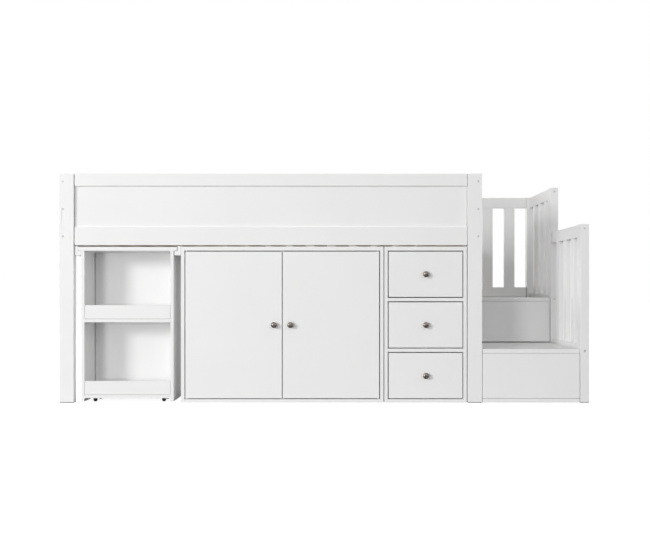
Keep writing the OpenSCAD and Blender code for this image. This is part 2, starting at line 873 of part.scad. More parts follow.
// A drawer box: two grooved sides, a back, an inner front and a bottom panel
module drawer_box(i) {
    y0 = drawer_box_y0;
    z0 = drawer_z(i) + drawer_box_lift;
    x1 = drawer_x0 + drawer_w - drawer_side_t;
    inner_x = drawer_x0 + drawer_side_t;
    inner_dx = drawer_w - 2 * drawer_side_t;
    inset = drawer_side_t / 2;
    bottom_z = z0 + drawer_bottom_rise;
    groove_z = drawer_z(i) + runner_lift - slide_gap;
    groove_h = runner_bar_h + 2 * slide_gap;
    difference() {
        union() {
            board(drawer_x0, y0, z0, drawer_side_t, drawer_box_d, drawer_box_h);
            board(x1, y0, z0, drawer_side_t, drawer_box_d, drawer_box_h);
        }
        board(drawer_x0 - eps, y0 - eps, groove_z, runner_groove_d + eps, drawer_box_d + 2 * eps, groove_h);
        board(x1 + drawer_side_t - runner_groove_d, y0 - eps, groove_z,
              runner_groove_d + eps, drawer_box_d + 2 * eps, groove_h);
        drawer_bottom(inner_x, y0, bottom_z, inner_dx, inset, joint_play);
    }
    difference() {
        for (y = [y0, y0 + drawer_box_d - drawer_side_t])
            board(inner_x + glue_line, y, z0, inner_dx - 2 * glue_line, drawer_side_t, drawer_box_h);
        drawer_bottom(inner_x, y0, bottom_z, inner_dx, inset, joint_play);
        rod_y(drawer_x0 + drawer_w / 2, y0 - eps, drawer_z(i) + drawer_front_h / 2,
              screw_head_d + 2 * screw_head_play, drawer_side_t + 2 * eps);
    }
    drawer_bottom(inner_x, y0, bottom_z, inner_dx, inset);
}

module drawer_bottom(x, y, z, dx, inset, play = 0) {
    board(x - inset - play, y + inset - play, z - play,
          dx + 2 * inset + 2 * play, drawer_box_d - 2 * inset + 2 * play, drawer_bottom_t + 2 * play);
}

module drawer_knob(i) {
    knob(drawer_x0 + drawer_w / 2, drawer_z(i) + drawer_front_h / 2);
}

module top_drawer_front() {
    color(lacquer) place() drawer_front(2);
}

module top_drawer_box() {
    color(timber) place() drawer_box(2);
}

module top_drawer_knob() {
    color(pewter) place() drawer_knob(2);
}

module middle_drawer_front() {
    color(lacquer) place() drawer_front(1);
}

module middle_drawer_box() {
    color(timber) place() drawer_box(1);
}

module middle_drawer_knob() {
    color(pewter) place() drawer_knob(1);
}

module bottom_drawer_front() {
    color(lacquer) place() drawer_front(0);
}

module bottom_drawer_box() {
    color(timber) place() drawer_box(0);
}

module bottom_drawer_knob() {
    color(pewter) place() drawer_knob(0);
}

module desk_top() {
    color(lacquer) place() board(desk_x0, desk_y0, desk_z0, desk_w, desk_d, desk_top_t);
}

// The left and right runners: an upright web on packing strips, with a ledge under the desk top's edge
module desk_runners() {
    y0 = desk_y0 + runner_setback;
    y1 = bed_w - setback;
    web_x0 = desk_zone_x0 + runner_packing;
    packing_l = y1 - y0 - packing_setback;
    ledge_top = desk_z0 - slide_gap;
    ledge_bottom = ledge_top - runner_ledge_t;
    ledge_w = runner_web_t + desk_play + desk_overhang - runner_side_gap;
    web_top = desk_z1 + runner_web_rise;
    color(lacquer) place()
        for (side = [0, 1])
            translate([side * (desk_zone_x0 + cupboard_x0), 0, 0]) mirror([side, 0, 0]) {
                board(web_x0, y0, ledge_bottom, runner_web_t, y1 - y0, web_top - ledge_bottom);
                board(web_x0, y0, ledge_bottom, ledge_w, y1 - y0, runner_ledge_t);
                board(web_x0, y1 - rail_t, web_top - eps, runner_web_t, rail_t,
                      lower_rail_z - web_top + eps);
                board(desk_zone_x0, y0 + packing_setback, ledge_bottom,
                      runner_packing + eps, packing_l, web_top - ledge_bottom);
            }
}

module bookcase_sides() {
    color(lacquer) place()
        for (x = [bookcase_x0, bookcase_x0 + bookcase_w - shelf_t])
            board(x, desk_y0, side_clear, shelf_t, bookcase_d, desk_z0 - side_clear);
}

// The back panel, and behind its edges the cleats that hold it between the sides
module bookcase_back() {
    panel_y1 = desk_y0 + bookcase_d - cleat_t;
    z = bottom_board_z;
    h = desk_z0 - bottom_board_z;
    color(lacquer) place() {
        board(bookcase_in_x0 + back_side_gap, panel_y1 - bookcase_back_t, z,
              bookcase_in_w - 2 * back_side_gap, bookcase_back_t, h);
        for (x = [bookcase_in_x0, bookcase_in_x0 + bookcase_in_w - cleat_w])
            board(x, panel_y1, z, cleat_w, cleat_t, h);
    }
}

module bookcase_shelves() {
    color(lacquer) place()
        for (z = [bottom_board_z, shelf_z - shelf_t])
            board(bookcase_in_x0, desk_y0, z, bookcase_in_w, bookcase_shelf_d, shelf_t);
}

module bookcase_lips() {
    color(lacquer) place()
        for (z = [bottom_board_z + shelf_t, shelf_z])
            lined_board([bookcase_in_x0, desk_y0, z], [bookcase_in_w, lip_t, lip_h + lip_line],
                        [lip_line, 0, lip_line], [lip_line, 0, 0], [0, lip_line_depth, 0]);
}

// The casters' centre points: left or right, front or rear
function caster_x(side) = side == 0 ? bookcase_x0 + caster_inset : bookcase_x0 + bookcase_w - caster_inset;
function caster_y(row) = desk_y0 + caster_front + row * caster_pitch;

module caster_fork(x, y) {
    fork_w = wheel_w + 2 * cheek_gap + 2 * cheek_t;
    half = fork_w / 2;
    plate_z = caster_h - caster_plate_t;
    translate([x, y, 0]) {
        difference() {
            union() {
                translate([-caster_plate_w / 2, -caster_plate_w / 2, plate_z])
                    cube([caster_plate_w, caster_plate_w, caster_plate_t]);
                for (cx = [-half, half - cheek_t]) {
                    rod_x(cx, 0, axle_z, 2 * axle_d, cheek_t);
                    translate([cx, -axle_d, axle_z]) cube([cheek_t, 2 * axle_d, plate_z - axle_z + eps]);
                }
            }
            rod_x(-half - eps, 0, axle_z, axle_d + 2 * pin_play, fork_w + 2 * eps);
        }
        rod_x(-half, 0, axle_z, axle_d, fork_w);
    }
}

module caster_forks() {
    color(black) place()
        for (side = [0, 1])
            for (row = [0, 1])
                caster_fork(caster_x(side), caster_y(row));
}

// A crowned wheel with a true bore
module wheel(side, row) {
    crown = 2;
    step = 1;
    steps = 4;
    r = wheel_d / 2 - crown;
    half = wheel_w / 2;
    bore_r = axle_d / 2 + pin_play;
    profile = concat(
        [[bore_r, -half], [r - step, -half]],
        [for (i = [-steps : steps]) [r + crown * cos(90 * i / steps), i * half / steps]],
        [[r - step, half], [bore_r, half]]
    );
    translate([caster_x(side), caster_y(row), axle_z]) rotate([0, 90, 0])
        rotate_extrude() polygon(profile);
}

module front_left_wheel() {
    color(black) place() wheel(0, 0);
}

module front_right_wheel() {
    color(black) place() wheel(1, 0);
}

module rear_left_wheel() {
    color(black) place() wheel(0, 1);
}

module rear_right_wheel() {
    color(black) place() wheel(1, 1);
}

module lower_tread() {
    color(lacquer) place()
        board(stair_x0, setback, lower_step_h - tread_t, step_w, lower_step_d - step_line, tread_t);
}

// The room that the corner post takes at the upper step's rear corner
module corner_notch() {
    board(corner_post_x0 - step_line, corner_post_y0 - step_line, -eps,
          corner_post_w, bed_w, upper_step_h + 2 * eps);
}

module upper_tread() {
    color(lacquer) place() difference() {
        board(stair_x0, upper_step_y0, upper_step_h - tread_t, step_w, upper_step_d, tread_t);
        corner_notch();
    }
}

// Each riser's front, foot and height of its step. The lower box's back closes the space under the
// upper riser.
module step_risers() {
    line = [0, 0, step_line];
    for (step = [[setback, tread_t, lower_step_h],
                 [upper_step_y0, lower_step_h + riser_foot_gap, upper_step_h]])
        color(lacquer) place()
            lined_board([stair_x0, step[0], step[1]], [step_w, riser_t, step[2] - tread_t - step[1]],
                        line, line, [0, line_depth, 0]);
}

// Bottom, sides and back of one step's box
module step_box(y0, depth, h) {
    wall_z = tread_t + glue_line;
    wall_h = h - tread_t - wall_z;
    back_x = stair_x0 + riser_t + glue_line;
    board(stair_x0, y0, 0, step_w, depth - glue_line, tread_t);
    for (x = [stair_x0, stair_x0 + step_w - riser_t])
        board(x, y0 + riser_t, wall_z, riser_t, depth - riser_t - glue_line, wall_h);
    board(back_x, y0 + depth - riser_t - glue_line, wall_z,
          step_w - 2 * (riser_t + glue_line), riser_t, wall_h);
}

module step_boxes() {
    color(lacquer) place() {
        step_box(setback, lower_step_d, lower_step_h);
        difference() {
            step_box(upper_step_y0, upper_step_d, upper_step_h);
            corner_notch();
        }
    }
}

module railing_posts() {
    color(lacquer) place() difference() {
        union() {
            board(railing_x0, 0, glide_t, rail_post_t, front_rail_post_d, lower_railing_h - glide_t);
            board(railing_x0, middle_post_y0, glide_t, rail_post_t, middle_rail_post_d,
                  upper_railing_h - glide_t);
            board(corner_post_x0, corner_post_y0, glide_t, corner_post_w, rail_post_t,
                  upper_railing_h - glide_t);
        }
        railing_bolts(pin_play);
    }
}

// Slats of a railing that runs along Y, with their ends in the rails' grooves
module side_slats(y0, length, z0, z1) {
    gap = (length - railing_slat_count * side_slat_w) / (railing_slat_count + 1);
    for (i = [0 : railing_slat_count - 1])
        board(railing_mid_x - side_slat_t / 2, y0 + gap + i * (side_slat_w + gap), z0 - slat_tenon,
              side_slat_t, side_slat_w, z1 - z0 + 2 * slat_tenon);
}

// The grooves along a side railing's two rails, which stay open between the slats
module side_grooves(y0, length, z0, z1) {
    for (z = [z0 - slat_tenon - joint_play, z1 - eps])
        board(railing_mid_x - side_slat_t / 2 - joint_play, y0 - eps, z,
              side_slat_t + 2 * joint_play, length + 2 * eps, slat_tenon + joint_play + eps);
}

// The back railing's slats along X, with tenons that fit mortises in its rails
module back_slats(play = 0) {
    gap = (back_rail_len - railing_slat_count * back_slat_w) / (railing_slat_count + 1);
    span = back_slat_z1 - back_slat_z0;
    for (i = [0 : railing_slat_count - 1]) {
        x = back_rail_x0 + gap - back_slat_shift + i * (back_slat_w + gap);
        if (play == 0)
            board(x, back_mid_y - back_slat_t / 2, back_slat_z0, back_slat_w, back_slat_t, span);
        board(x + slat_shoulder - play, back_mid_y - back_slat_t / 4 - play, back_slat_z0 - slat_tenon - play,
              back_slat_w - 2 * slat_shoulder + 2 * play, back_slat_t / 2 + 2 * play,
              span + 2 * slat_tenon + 2 * play);
    }
}

// A side rail from a post's back to the next post, with a joint line at both ends
module side_rail(y, z, length) {
    line = [0, railing_line, 0];
    lined_board([railing_mid_x - railing_rail_t / 2, y, z], [railing_rail_t, length, railing_rail_h],
                line, line, [line_depth, 0, line_depth]);
}

module railing_rails() {
    line = [railing_line, 0, 0];
    color(lacquer) place() difference() {
        union() {
            for (z = [lower_bottom_rail_z, lower_railing_h - railing_rail_h])
                side_rail(front_rail_post_d, z, lower_rail_len);
            for (z = [upper_bottom_rail_z, upper_railing_h - railing_rail_h])
                side_rail(upper_rail_y0, z, upper_rail_len);
            lined_board([back_rail_x0, back_rail_y0, upper_step_h], [back_rail_len, rail_t, back_rail_h],
                        line + [0, 0, step_line], line, [0, line_depth, 0]);
            lined_board([back_rail_x0, back_rail_y0, upper_railing_h - railing_rail_h],
                        [back_rail_len, rail_t, railing_rail_h], line, line, [0, line_depth, line_depth]);
        }
        railing_bolts(pin_play);
        for (run = side_runs)
            side_grooves(run[0], run[1], run[2], run[3]);
        back_slats(joint_play);
    }
}

module railing_slats() {
    color(lacquer) place() {
        for (run = side_runs)
            side_slats(run[0], run[1], run[2], run[3]);
        back_slats();
    }
}

front_posts();
rear_posts();
post_glides();
front_top_rail();
front_panel();
front_lower_rail();
rear_top_rail();
rear_panel();
rear_lower_rail();
left_end_frame();
left_end_panel();
right_end_frame();
right_guard_panel();
slat_ledges();
bed_slats();
frame_bolts();
cupboard_sides();
cupboard_top();
cupboard_bottom();
cupboard_back();
cupboard_divider();
cupboard_shelves();
cupboard_pins();
left_door();
right_door();
left_door_knob();
right_door_knob();
chest_sides();
chest_top();
chest_bottom();
chest_back();
chest_dividers();
drawer_runners();
top_drawer_front();
top_drawer_box();
top_drawer_knob();
middle_drawer_front();
middle_drawer_box();
middle_drawer_knob();
bottom_drawer_front();
bottom_drawer_box();
bottom_drawer_knob();
desk_top();
bookcase_sides();
bookcase_back();
bookcase_shelves();
bookcase_lips();
desk_runners();
caster_forks();
front_left_wheel();
front_right_wheel();
rear_left_wheel();
rear_right_wheel();
lower_tread();
upper_tread();
step_risers();
step_boxes();
railing_posts();
railing_rails();
railing_slats();
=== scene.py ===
"""Looks of the white loft bed: lacquer, bare timber, steel and plastic, with the detailed small pieces.

Metres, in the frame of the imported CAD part: X along the bed, the front at -Y and Z up.
"""

import math

import bmesh
import bpy
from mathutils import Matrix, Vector


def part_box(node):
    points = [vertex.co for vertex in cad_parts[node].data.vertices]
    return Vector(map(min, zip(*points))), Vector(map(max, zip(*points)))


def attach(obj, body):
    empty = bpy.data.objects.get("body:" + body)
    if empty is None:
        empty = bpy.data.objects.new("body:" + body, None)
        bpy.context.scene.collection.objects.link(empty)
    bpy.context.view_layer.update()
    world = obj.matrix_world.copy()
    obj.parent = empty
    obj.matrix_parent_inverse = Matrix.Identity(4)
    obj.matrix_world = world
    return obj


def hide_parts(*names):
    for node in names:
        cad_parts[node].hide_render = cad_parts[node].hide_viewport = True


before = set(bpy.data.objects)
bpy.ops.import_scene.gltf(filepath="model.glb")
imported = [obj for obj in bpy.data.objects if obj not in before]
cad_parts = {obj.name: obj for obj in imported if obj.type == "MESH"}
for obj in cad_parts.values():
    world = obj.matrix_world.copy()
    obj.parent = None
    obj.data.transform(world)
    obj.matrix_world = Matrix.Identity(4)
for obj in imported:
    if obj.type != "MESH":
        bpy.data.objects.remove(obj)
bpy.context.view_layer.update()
scene = bpy.context.scene

# Eased edges, in metres, and what the modifiers work from
EASED_EDGE = 0.0012
EASED_TIMBER = 0.0020
EASED_SMALL = 0.0003
EASED_SEGMENTS = 3
MERGE_DISTANCE = 0.00001
SHARP_ANGLE = math.radians(40)
FLAT_ANGLE = math.radians(0.5)

# Camera, set from the photograph's vanishing point and its front plane
CAMERA_PLACE = (0.0035, -4.155, 0.544)
CAMERA_LENS = 41.37
CAMERA_SHIFT_Y = 0.0258

# Floor: its tone, and the glow that makes it white to the camera
FLOOR_HALF = 30.0
FLOOR_TONE = 0.45
FLOOR_GLOW = 0.90

# World: its light from all round, and what it adds at most from the front and from the right
WORLD_EVEN = 0.12
WORLD_FRONT = 0.46
WORLD_RIGHT = 0.52

# Lamps: place, side of the square and watts. Each is turned to the same point
AIM = (0.0, -0.3, 0.6)
SIDE_LAMP = ((-14.55, -13.17, 5.37), 4.0, 1810.0)
FRONT_LAMP = ((-2.9, -6.2, 0.60), 1.1, 94.0)
REAR_LAMP = ((-3.2, 5.2, 0.9), 2.0, 190.0)

# Bolts and collars: thickness of a head, radius of a shank, a collar's gap and chamfer
BOLT_HEAD_T = 0.003
BOLT_SHANK_R = 0.003
COLLAR_GAP = 0.0001
COLLAR_CHAMFER = 0.0004
# A piece of hardware that is shorter than this along X is a collar
COLLAR_LONGEST = 0.008
# Bolts that start in front of this Y are screwed in from the front
FRONT_BOLTS_END = 0.1

# Which nodes wear which finish
LACQUERED = [
    "front_posts", "rear_posts", "front_top_rail", "front_panel", "front_lower_rail",
    "rear_top_rail", "rear_panel", "rear_lower_rail", "left_end_frame", "left_end_panel",
    "right_end_frame", "right_guard_panel", "cupboard_sides", "cupboard_top", "cupboard_bottom",
    "cupboard_back", "cupboard_divider", "cupboard_shelves", "left_door", "right_door",
    "chest_sides", "chest_top", "chest_bottom", "chest_back", "chest_dividers",
    "top_drawer_front", "middle_drawer_front", "bottom_drawer_front", "desk_top",
    "bookcase_sides", "bookcase_back", "bookcase_shelves", "bookcase_lips", "desk_runners",
    "lower_tread", "upper_tread", "step_risers", "step_boxes",
    "railing_posts", "railing_rails", "railing_slats",
]
TIMBER_ALONG_Y = [
    "bed_slats", "drawer_runners", "top_drawer_box", "middle_drawer_box", "bottom_drawer_box",
]
# Each knob's body, and the node of its panel
KNOBS = {
    "left_door_knob": "left_door",
    "right_door_knob": "right_door",
    "top_drawer_knob": "top_drawer",
    "middle_drawer_knob": "middle_drawer",
    "bottom_drawer_knob": "bottom_drawer",
}
KNOB_PANELS = {
    "left_door_knob": "left_door",
    "right_door_knob": "right_door",
    "top_drawer_knob": "top_drawer_front",
    "middle_drawer_knob": "middle_drawer_front",
    "bottom_drawer_knob": "bottom_drawer_front",
}
WHEELS = ["front_left_wheel", "front_right_wheel", "rear_left_wheel", "rear_right_wheel"]


# Material nodes

def plug(tree, socket, value):
    """Gives an input its value: a number, a colour or another node's socket."""
    if isinstance(value, bpy.types.NodeSocket):
        tree.links.new(value, socket)
    else:
        socket.default_value = value


def add(tree, kind, inputs=None, **settings):
    """Adds a node with its settings and the values of its inputs."""
    made = tree.nodes.new(kind)
    for setting, value in settings.items():
        setattr(made, setting, value)
    for name, value in (inputs or {}).items():
        plug(tree, made.inputs[name], value)
    return made


def noise(tree, vector, scale, detail=2.0, roughness=0.5, distortion=0.0):
    """A noise pattern, with its scale in cells to a metre."""
    inputs = {
        "Vector": vector, "Scale": scale, "Detail": detail,
        "Roughness": roughness, "Distortion": distortion,
    }
    return add(tree, "ShaderNodeTexNoise", inputs).outputs["Fac"]


def spread(tree, value, low, high, to_low, to_high):
    """Maps the range low to high onto to_low to to_high, and clamps it there."""
    inputs = {"Value": value, "From Min": low, "From Max": high, "To Min": to_low, "To Max": to_high}
    return add(tree, "ShaderNodeMapRange", inputs).outputs["Result"]


def blend_colours(tree, factor, first, second):
    """Goes from the first colour to the second as the factor goes from 0 to 1."""
    made = add(tree, "ShaderNodeMix", data_type="RGBA")
    colours = [socket for socket in made.inputs if socket.type == "RGBA"]
    for socket, value in zip((made.inputs[0], *colours), (factor, first, second)):
        plug(tree, socket, value)
    return next(socket for socket in made.outputs if socket.type == "RGBA")


def calculate(tree, operation, *values):
    """The result of one sum on numbers or sockets."""
    made = add(tree, "ShaderNodeMath", operation=operation)
    for socket, value in zip(made.inputs, values):
        plug(tree, socket, value)
    return made.outputs[0]


def bump(tree, height, distance, strength=1.0, normal=None):
    """A bump of the given depth in metres, laid over another where one is given."""
    inputs = {"Height": height, "Distance": distance, "Strength": strength}
    if normal is not None:
        inputs["Normal"] = normal
    return add(tree, "ShaderNodeBump", inputs).outputs["Normal"]


def object_place(tree, stretch=(1.0, 1.0, 1.0)):
    """The place on the object in metres, squeezed along each axis."""
    place = add(tree, "ShaderNodeTexCoord").outputs["Object"]
    return add(tree, "ShaderNodeMapping", {"Vector": place, "Scale": stretch}).outputs["Vector"]


def each_board(tree):
    """A value from 0 to 1 of its own for each separate board of a node."""
    return add(tree, "ShaderNodeNewGeometry").outputs["Random Per Island"]


def grey(level, warmth=0.0):
    """A near-neutral colour: warmth lifts the red and lowers the blue."""
    return (level * (1 + warmth), level, level * (1 - warmth), 1.0)


def new_material(name, metallic=0.0, ior=1.5):
    """A material, its nodes and its shader. What is the same all over is set on the shader itself."""
    material = bpy.data.materials.new(name)
    material.use_nodes = True
    shader = material.node_tree.nodes["Principled BSDF"]
    shader.inputs["Metallic"].default_value = metallic
    shader.inputs["IOR"].default_value = ior
    return material, material.node_tree, shader


def finish_shader(tree, shader, colour, roughness, normal):
    """Links what varies over the surface to the shader."""
    tree.links.new(colour, shader.inputs["Base Color"])
    tree.links.new(roughness, shader.inputs["Roughness"])
    tree.links.new(normal, shader.inputs["Normal"])


def lacquer_material():
    """Sprayed satin lacquer: a slight cloudiness, orange peel and fine dust nibs."""
    material, tree, shader = new_material("white_lacquer", ior=1.46)
    place = object_place(tree)
    cloud = spread(tree, noise(tree, place, 2.5, 3.0), 0.3, 0.7, 0.0, 1.0)
    board_tone = calculate(tree, "MULTIPLY", each_board(tree), 0.5)
    colour = blend_colours(tree, cloud, grey(0.880, 0.002), grey(0.905, 0.001))
    colour = blend_colours(tree, board_tone, colour, grey(0.890, 0.004))
    patches = noise(tree, place, 14.0, 4.0)
    roughness = spread(tree, patches, 0.3, 0.7, 0.34, 0.44)
    peel = noise(tree, place, 260.0, 2.0)
    nibs = spread(tree, noise(tree, place, 900.0, 1.0), 0.72, 0.82, 0.0, 1.0)
    normal = bump(tree, peel, 0.00018, 0.6)
    normal = bump(tree, nibs, 0.00004, 0.5, normal)
    finish_shader(tree, shader, colour, roughness, normal)
    return material


def lacquer_edge_material():
    """The same lacquer on the eased edges, rubbed smoother and a little thinner in places."""
    material, tree, shader = new_material("white_lacquer_edge", ior=1.46)
    place = object_place(tree)
    rubbed = spread(tree, noise(tree, place, 55.0, 5.0, 0.65), 0.56, 0.72, 0.0, 1.0)
    colour = blend_colours(tree, rubbed, grey(0.900, 0.002), grey(0.80, 0.025))
    roughness = spread(tree, rubbed, 0.0, 1.0, 0.30, 0.46)
    normal = bump(tree, noise(tree, place, 420.0, 2.0), 0.00010, 0.5)
    finish_shader(tree, shader, colour, roughness, normal)
    return material


def timber_material(name, stretch):
    """Planed pine: growth rings in a stretched pattern, pores, and a tone of its own on each board."""
    material, tree, shader = new_material(name, ior=1.45)
    island = each_board(tree)
    shift = add(tree, "ShaderNodeCombineXYZ", {"X": island, "Y": island, "Z": island}).outputs["Vector"]
    place = add(tree, "ShaderNodeTexCoord").outputs["Object"]
    moved = add(tree, "ShaderNodeVectorMath", operation="ADD")
    plug(tree, moved.inputs[0], place)
    plug(tree, moved.inputs[1], shift)
    grain_place = add(
        tree, "ShaderNodeMapping", {"Vector": moved.outputs["Vector"], "Scale": stretch}
    ).outputs["Vector"]
    rings = noise(tree, grain_place, 9.0, 3.0, 0.55, 1.2)
    lines = calculate(tree, "FRACT", calculate(tree, "MULTIPLY", rings, 9.0))
    late_wood = spread(tree, lines, 0.55, 1.0, 0.0, 1.0)
    pores = noise(tree, grain_place, 120.0, 2.0)
    pale = blend_colours(tree, island, (0.76, 0.66, 0.53, 1), (0.82, 0.73, 0.60, 1))
    late_share = calculate(tree, "MULTIPLY", late_wood, 0.5)
    colour = blend_colours(tree, late_share, pale, (0.58, 0.44, 0.29, 1))
    pore_share = spread(tree, pores, 0.55, 0.8, 0.0, 0.35)
    colour = blend_colours(tree, pore_share, colour, (0.46, 0.34, 0.22, 1))
    roughness = spread(tree, pores, 0.3, 0.7, 0.52, 0.70)
    normal = bump(tree, lines, 0.00012, 0.5)
    normal = bump(tree, pores, 0.00015, 0.6, normal)
    finish_shader(tree, shader, colour, roughness, normal)
    return material


def steel_material():
    """Zinc-plated steel: a soft crystal bloom and fine scratches."""
    material, tree, shader = new_material("zinc_steel", metallic=1.0)
    place = object_place(tree)
    bloom = noise(tree, place, 700.0, 3.0)
    bloomed = spread(tree, bloom, 0.3, 0.7, 0.0, 1.0)
    colour = blend_colours(tree, bloomed, (0.62, 0.63, 0.64, 1), (0.74, 0.75, 0.76, 1))
    roughness = spread(tree, noise(tree, place, 260.0, 3.0), 0.3, 0.7, 0.24, 0.40)
    normal = bump(tree, noise(tree, object_place(tree, (1.0, 1.0, 14.0)), 380.0, 2.0), 0.00003, 0.5)
    finish_shader(tree, shader, colour, roughness, normal)
    return material


def pewter_material():
    """Dark pewter, cast and brushed, a little brighter where hands have rubbed it."""
    material, tree, shader = new_material("pewter", metallic=1.0)
    place = object_place(tree)
    rubbed = spread(tree, noise(tree, place, 130.0, 3.0), 0.4, 0.7, 0.0, 1.0)
    colour = blend_colours(tree, rubbed, (0.20, 0.175, 0.155, 1), (0.34, 0.31, 0.285, 1))
    roughness = spread(tree, noise(tree, place, 320.0, 4.0), 0.3, 0.7, 0.26, 0.42)
    normal = bump(tree, noise(tree, place, 1400.0, 2.0), 0.00003, 0.6)
    finish_shader(tree, shader, colour, roughness, normal)
    return material


def black_material(name, level, rough_low, rough_high, grain):
    """Moulded black plastic or rubber with a fine moulded grain."""
    material, tree, shader = new_material(name, ior=1.48)
    place = object_place(tree)
    dust = spread(tree, noise(tree, place, 60.0, 4.0), 0.45, 0.75, 0.0, 1.0)
    colour = blend_colours(tree, dust, grey(level), grey(level * 2.2, 0.04))
    roughness = spread(tree, noise(tree, place, 190.0, 2.0), 0.3, 0.7, rough_low, rough_high)
    normal = bump(tree, noise(tree, place, grain, 2.0), 0.00006, 0.7)
    finish_shader(tree, shader, colour, roughness, normal)
    return material


LACQUER = lacquer_material()
LACQUER_EDGE = lacquer_edge_material()
TIMBER_X = timber_material("bare_timber_along_x", (0.9, 9.0, 9.0))
TIMBER_Y = timber_material("bare_timber_along_y", (9.0, 0.9, 9.0))
STEEL = steel_material()
PEWTER = pewter_material()
PLASTIC = black_material("black_plastic", 0.018, 0.42, 0.58, 1500.0)
RUBBER = black_material("black_rubber", 0.024, 0.68, 0.85, 800.0)


# CAD nodes keep their mesh. They get a finish and eased edges from modifiers.

def dress(name, material, edge_material=None, ease=EASED_EDGE):
    """Gives a CAD node its finish, and one for the faces of its eased edges."""
    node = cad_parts[name]
    node.data.materials.clear()
    node.data.materials.append(material)
    node.data.materials.append(edge_material or material)
    weld = node.modifiers.new("weld", "WELD")
    weld.merge_threshold = MERGE_DISTANCE
    flat = node.modifiers.new("flat_faces", "DECIMATE")
    flat.decimate_type = "DISSOLVE"
    flat.angle_limit = FLAT_ANGLE
    eased = node.modifiers.new("eased_edges", "BEVEL")
    eased.width = ease
    eased.segments = EASED_SEGMENTS
    eased.limit_method = "ANGLE"
    eased.angle_limit = SHARP_ANGLE
    eased.use_clamp_overlap = False
    eased.harden_normals = True
    eased.material = 1


for name in LACQUERED:
    dress(name, LACQUER, LACQUER_EDGE)
for name in TIMBER_ALONG_Y:
    dress(name, TIMBER_Y)
dress("slat_ledges", TIMBER_X, ease=EASED_TIMBER)
dress("post_glides", PLASTIC, ease=EASED_SMALL)
dress("caster_forks", PLASTIC, ease=EASED_SMALL)
dress("cupboard_pins", STEEL, ease=EASED_SMALL)


# Turned and built pieces

def ring(radius, height, count):
    """Points of a circle about the Z axis."""
    angles = [math.tau * i / count for i in range(count)]
    return [Vector((radius * math.cos(angle), radius * math.sin(angle), height)) for angle in angles]


def bridge(shape, lower, upper, material=0, smooth=True):
    """Quads between two rings of vertices."""
    count = len(lower)
    for i in range(count):
        j = (i + 1) % count
        face = shape.faces.new((lower[i], lower[j], upper[j], upper[i]))
        face.material_index = material
        face.smooth = smooth


def turned_rings(shape, profile, axis, count):
    """A ring of vertices for each (radius, height) point of a profile, laid along axis.

    axis is (origin, matrix): the matrix takes Z to the piece's own direction.
    """
    origin, matrix = axis
    return [
        [shape.verts.new(origin + matrix @ point) for point in ring(radius, height, count)]
        for radius, height in profile
    ]


def turn(shape, profile, axis, count, material=0, smooth=True):
    """Turns a profile into a solid with a flat cap at both ends."""
    rings = turned_rings(shape, profile, axis, count)
    for lower, upper in zip(rings, rings[1:]):
        bridge(shape, lower, upper, material, smooth)
    for cap in (list(reversed(rings[0])), rings[-1]):
        face = shape.faces.new(cap)
        face.material_index = material
        face.smooth = False


def quarter(centre, radii, start, end, steps):
    """Points on an arc of an ellipse in the profile's plane, angles in degrees."""
    return [
        (
            centre[0] + radii[0] * math.cos(math.radians(start + (end - start) * i / steps)),
            centre[1] + radii[1] * math.sin(math.radians(start + (end - start) * i / steps)),
        )
        for i in range(steps + 1)
    ]


def facing(direction):
    """The rotation that takes Z to a direction."""
    return Vector(direction).to_track_quat("Z", "Y").to_matrix()


def piece_from(shape, name, body, materials, replaced=()):
    """Makes a named piece of a bmesh, rides it on a body and hides the CAD nodes it stands in for."""
    bmesh.ops.recalc_face_normals(shape, faces=shape.faces)
    mesh = bpy.data.meshes.new(name)
    shape.to_mesh(mesh)
    shape.free()
    for material in materials:
        mesh.materials.append(material)
    piece = bpy.data.objects.new(name, mesh)
    scene.collection.objects.link(piece)
    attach(piece, body)
    if replaced:
        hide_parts(*replaced)


def solids_of(name):
    """The lowest and highest corner of each separate solid of a CAD node, in a fixed order."""
    shape = bmesh.new()
    shape.from_mesh(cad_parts[name].data)
    bmesh.ops.remove_doubles(shape, verts=shape.verts, dist=MERGE_DISTANCE)
    left = set(shape.verts)
    boxes = []
    while left:
        group = {left.pop()}
        edge = list(group)
        while edge:
            vertex = edge.pop()
            for link in vertex.link_edges:
                other = link.other_vert(vertex)
                if other in left:
                    left.remove(other)
                    group.add(other)
                    edge.append(other)
        low = Vector([min(v.co[i] for v in group) for i in range(3)])
        high = Vector([max(v.co[i] for v in group) for i in range(3)])
        boxes.append((low, high))
    shape.free()
    return sorted(boxes, key=lambda box: [round(value, 5) for value in (*box[0], *box[1])])


